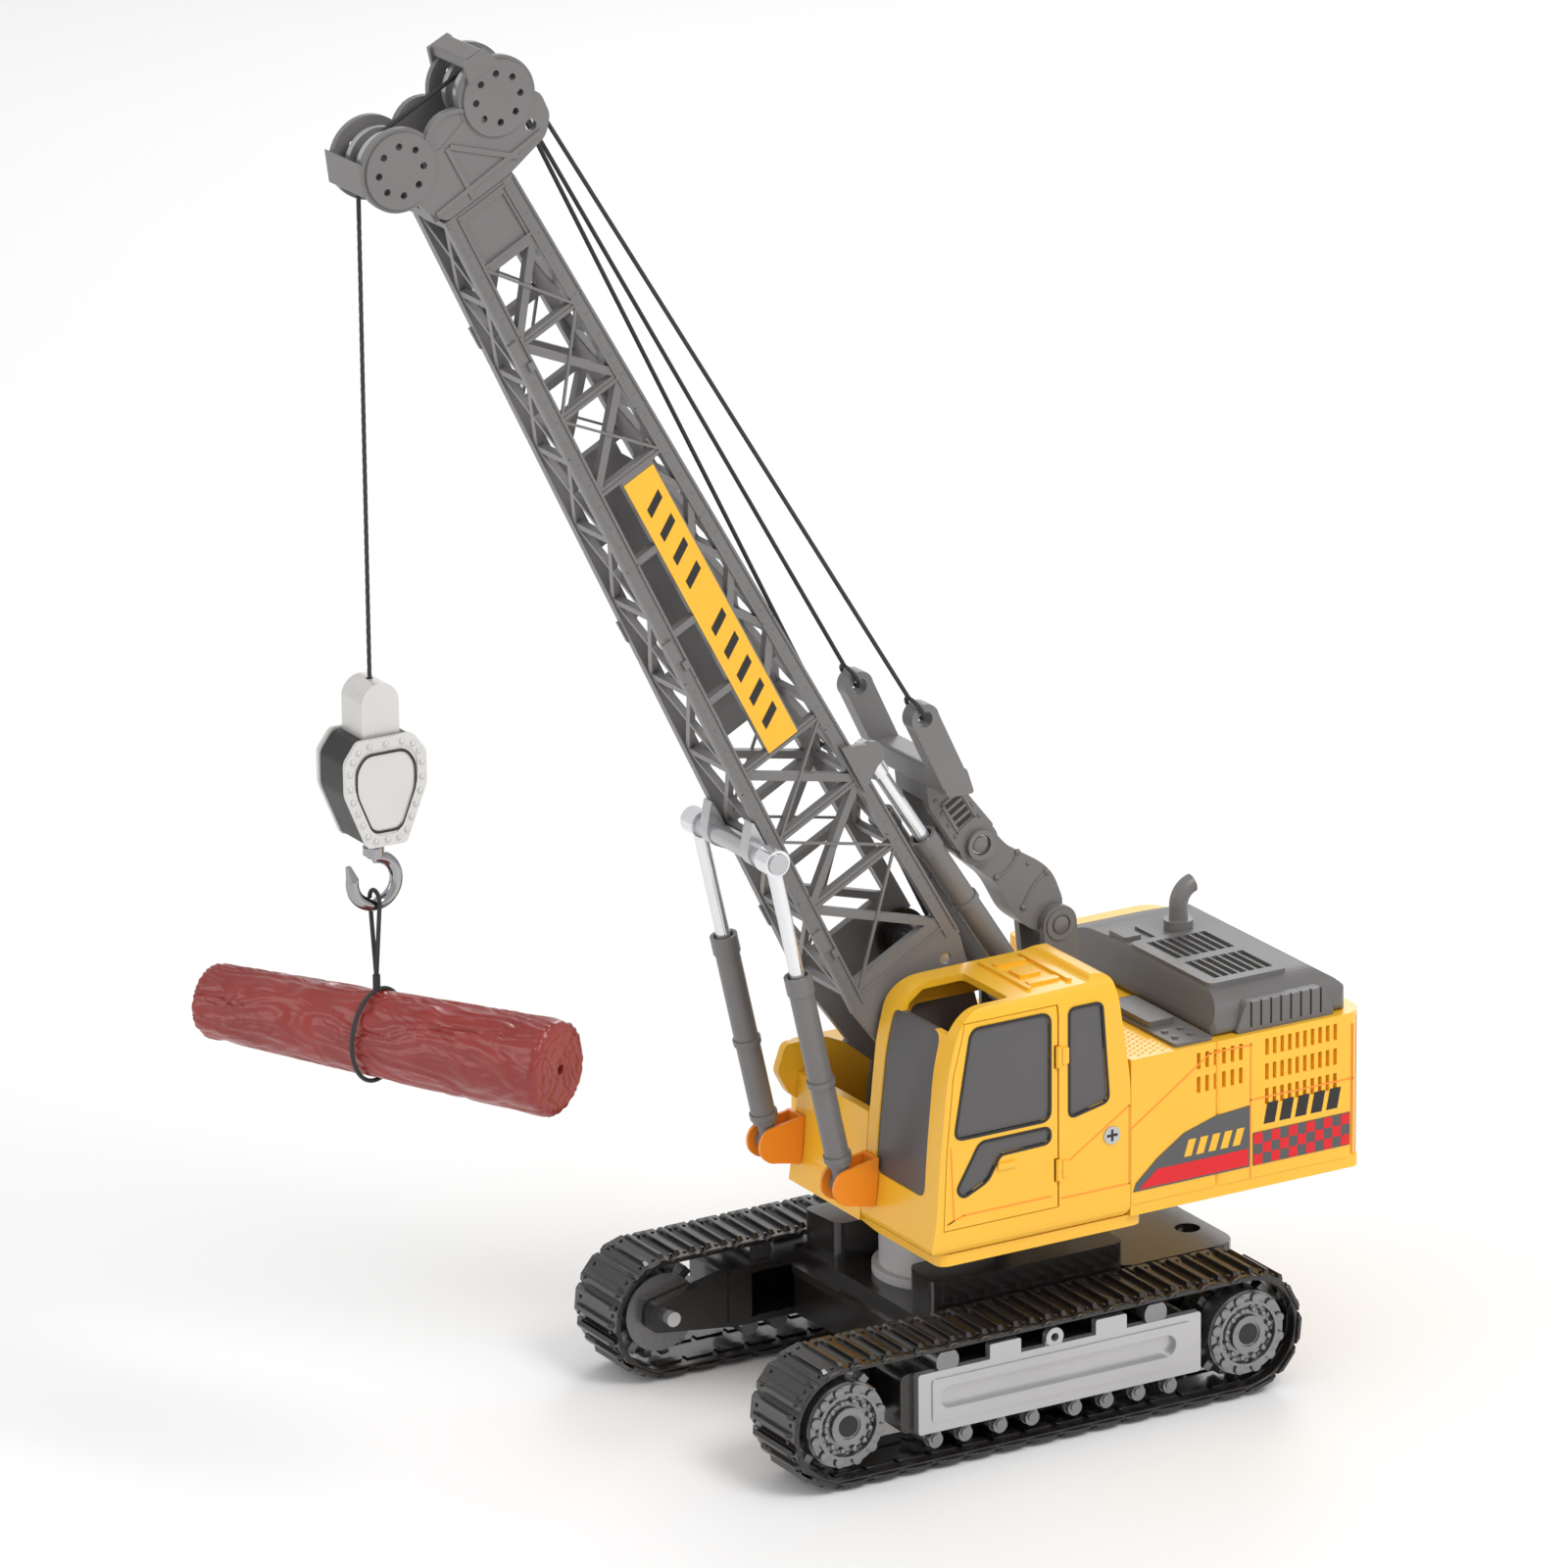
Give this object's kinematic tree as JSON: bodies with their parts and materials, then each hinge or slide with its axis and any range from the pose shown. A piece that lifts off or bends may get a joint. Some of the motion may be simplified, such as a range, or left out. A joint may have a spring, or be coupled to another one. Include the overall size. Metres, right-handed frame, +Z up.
{
  "type": "toy_crawler_crane",
  "caption": "Yellow and grey toy crawler crane with lattice boom, gantry, ram pairs, rubber-look tracks and a hook block carrying a red log",
  "frame": {"origin": "on the floor under the middle of the slew axis", "axes": "+Z up, -Y front (towards the boom head), +X the cab side"},
  "size_m": [0.14, 0.3677, 0.4676],
  "materials": {
    "yellow_body": "smooth gloss",
    "orange_trim": "smooth gloss",
    "grey_plastic": "satin",
    "track_plastic": "gloss",
    "window_plastic": "satin, opaque",
    "silver_paint": "silver paint, satin",
    "chrome_pin": "polished",
    "steel_inside": "brushed",
    "ballast_iron": "rough",
    "light_plastic": "satin light grey",
    "black_cord": "twisted cord",
    "red_log": "moulded grain, satin",
    "decal_film": "printed film",
    "label_film": "printed film",
    "circuit_green": "satin"
  },
  "bodies": {
    "undercarriage": {"chassis_frame": "track_plastic", "slew_column": "light_plastic", "battery_pack": "ballast_iron", "battery_door": "track_plastic", "track_frame_left": "track_plastic", "track_frame_right": "track_plastic", "track_belt_left": "track_plastic", "track_belt_right": "track_plastic", "side_covers": "silver_paint", "track_rollers": "silver_paint", "idler_pins": "chrome_pin", "drive_motors": "steel_inside"},
    "left_idler": {"idler_left": "silver_paint"},
    "right_idler": {"idler_right": "silver_paint"},
    "left_sprocket": {"sprocket_left": "silver_paint"},
    "right_sprocket": {"sprocket_right": "silver_paint"},
    "upper": {"turntable": "track_plastic", "body_deck": "yellow_body", "body_shell": "yellow_body", "cylinder_lugs": "orange_trim", "counterweight": "ballast_iron", "rear_insert": "window_plastic", "hood": "grey_plastic", "louvre_panel": "grey_plastic", "exhaust_pipe": "grey_plastic", "cab_shell": "yellow_body", "cab_windows": "window_plastic", "body_screws": "silver_paint", "side_decal": "decal_film", "control_board": "circuit_green", "slew_motor": "steel_inside", "boom_brackets": "grey_plastic", "foot_pin": "chrome_pin"},
    "door": {"cab_door": "yellow_body", "door_windows": "window_plastic"},
    "boom": {"boom_side_left": "grey_plastic", "boom_side_right": "grey_plastic", "boom_lattice": "grey_plastic", "boom_label": "label_film", "head_plates": "grey_plastic", "boom_axles": "chrome_pin", "cross_head": "silver_paint", "hoist_rope": "black_cord"},
    "front_cylinder_barrels": {"front_barrels": "grey_plastic"},
    "front_cylinder_rods": {"front_rods": "chrome_pin"},
    "rear_cylinder_barrels": {"rear_barrels": "grey_plastic"},
    "rear_cylinder_rods": {"rear_rods": "chrome_pin"},
    "lower_link": {"gantry_lower": "grey_plastic", "gantry_knee_pin": "chrome_pin"},
    "upper_link": {"gantry_upper": "grey_plastic"},
    "pendants": {"pendant_ropes": "black_cord"},
    "front_sheave": {"sheave_front": "silver_paint"},
    "rear_sheave": {"sheave_rear": "silver_paint"},
    "drum": {"winch_drum": "grey_plastic"},
    "lead": {"rope_lead": "black_cord"},
    "fall": {"rope_fall": "black_cord"},
    "block": {"hook_block": "silver_paint"},
    "swivel_hook": {"hook": "chrome_pin"},
    "load": {"sling": "black_cord", "log_load": "red_log"}
  },
  "joints": [
    {"name": "left_idler_spin", "type": "hinge", "parent": "undercarriage", "child": "left_idler", "pos_m": [0.055, -0.075, 0.0215], "axis": [1, 0, 0], "continuous": true},
    {"name": "left_sprocket_spin", "type": "hinge", "parent": "undercarriage", "child": "left_sprocket", "pos_m": [0.055, 0.075, 0.0215], "axis": [1, 0, 0], "continuous": true},
    {"name": "right_idler_spin", "type": "hinge", "parent": "undercarriage", "child": "right_idler", "pos_m": [-0.055, -0.075, 0.0215], "axis": [1, 0, 0], "continuous": true},
    {"name": "right_sprocket_spin", "type": "hinge", "parent": "undercarriage", "child": "right_sprocket", "pos_m": [-0.055, 0.075, 0.0215], "axis": [1, 0, 0], "continuous": true},
    {"name": "slew", "type": "hinge", "parent": "undercarriage", "child": "upper", "pos_m": [0, 0, 0.0585], "axis": [0, 0, 1], "continuous": true},
    {"name": "cab_door_hinge", "type": "hinge", "parent": "upper", "child": "door", "pos_m": [0.0632, 0.0069, 0.11], "axis": [0, 0, 1], "range_deg": [0, 75]},
    {"name": "luff", "type": "hinge", "parent": "upper", "child": "boom", "pos_m": [0, -0.003, 0.11], "axis": [-1, 0, 0], "range_deg": [-10, 6]},
    {"name": "front_barrel_tilt", "type": "hinge", "parent": "upper", "child": "front_cylinder_barrels", "pos_m": [0, -0.0485, 0.083], "axis": [-1, 0, 0], "range_deg": [-8.72, 5.24]},
    {"name": "front_rod_tilt", "type": "hinge", "parent": "boom", "child": "front_cylinder_rods", "pos_m": [0, -0.0736, 0.1958], "axis": [-1, 0, 0], "range_deg": [-0.8, 1.32]},
    {"name": "rear_barrel_tilt", "type": "hinge", "parent": "upper", "child": "rear_cylinder_barrels", "pos_m": [0, 0.0325, 0.1215], "axis": [-1, 0, 0], "range_deg": [-9.12, 5.48]},
    {"name": "rear_rod_tilt", "type": "hinge", "parent": "boom", "child": "rear_cylinder_rods", "pos_m": [0, -0.033, 0.222], "axis": [-1, 0, 0], "range_deg": [-0.56, 0.92]},
    {"name": "lower_link_tilt", "type": "hinge", "parent": "upper", "child": "lower_link", "pos_m": [0, 0.0415, 0.1495], "axis": [-1, 0, 0], "range_deg": [-8.02, 4.82]},
    {"name": "upper_link_tilt", "type": "hinge", "parent": "lower_link", "child": "upper_link", "pos_m": [0, 0.0106, 0.1825], "axis": [-1, 0, 0], "range_deg": [-2.02, 1.22]},
    {"name": "pendant_tilt", "type": "hinge", "parent": "upper_link", "child": "pendants", "pos_m": [0, -0.017, 0.2325], "axis": [-1, 0, 0], "range_deg": [-0.67, 0.41]},
    {"name": "front_sheave_spin", "type": "hinge", "parent": "boom", "child": "front_sheave", "pos_m": [0, -0.19377, 0.43385], "axis": [1, 0, 0], "range_deg": [-848, 718]},
    {"name": "rear_sheave_spin", "type": "hinge", "parent": "boom", "child": "rear_sheave", "pos_m": [0, -0.15995, 0.45183], "axis": [1, 0, 0], "range_deg": [-848, 718]},
    {"name": "drum_spin", "type": "hinge", "parent": "boom", "child": "drum", "pos_m": [0, -0.00622, 0.14906], "axis": [1, 0, 0], "range_deg": [-1059, 896]},
    {"name": "rope_plumb", "type": "hinge", "parent": "boom", "child": "lead", "pos_m": [0, -0.19377, 0.43385], "axis": [-1, 0, 0], "range_deg": [-6.02, 10.02]},
    {"name": "rope_swing", "type": "hinge", "parent": "lead", "child": "fall", "pos_m": [0, -0.20257, 0.41785], "axis": [1, 0, 0], "range_deg": [-20, 10]},
    {"name": "hoist", "type": "slide", "parent": "fall", "child": "block", "axis": [0, 0, 1], "range_m": [-0.13, 0.11], "deforming": ["rope_fall"]},
    {"name": "hook_swivel", "type": "hinge", "parent": "block", "child": "swivel_hook", "pos_m": [0, -0.20257, 0.222], "axis": [0, 0, 1], "continuous": true},
    {"name": "load_tilt", "type": "hinge", "parent": "swivel_hook", "child": "load", "pos_m": [0, -0.20257, 0.2], "axis": [1, 0, 0], "range_deg": [-15, 15]}
  ],
  "couplings": [
    {"joint": "left_idler_spin", "follows": "left_sprocket_spin", "ratio": 1},
    {"joint": "right_idler_spin", "follows": "right_sprocket_spin", "ratio": 1},
    {"joint": "front_barrel_tilt", "follows": "luff", "ratio": 0.87},
    {"joint": "front_rod_tilt", "follows": "luff", "ratio": -0.13},
    {"joint": "rear_barrel_tilt", "follows": "luff", "ratio": 0.91},
    {"joint": "rear_rod_tilt", "follows": "luff", "ratio": -0.09},
    {"joint": "lower_link_tilt", "follows": "luff", "ratio": 0.8},
    {"joint": "upper_link_tilt", "follows": "luff", "ratio": 0.2},
    {"joint": "pendant_tilt", "follows": "luff", "ratio": 0.065},
    {"joint": "rope_plumb", "follows": "luff", "ratio": -1},
    {"joint": "front_sheave_spin", "follows": "hoist", "rad_per_m": 113.64},
    {"joint": "rear_sheave_spin", "follows": "hoist", "rad_per_m": 113.64},
    {"joint": "drum_spin", "follows": "hoist", "rad_per_m": 141.84}
  ]
}
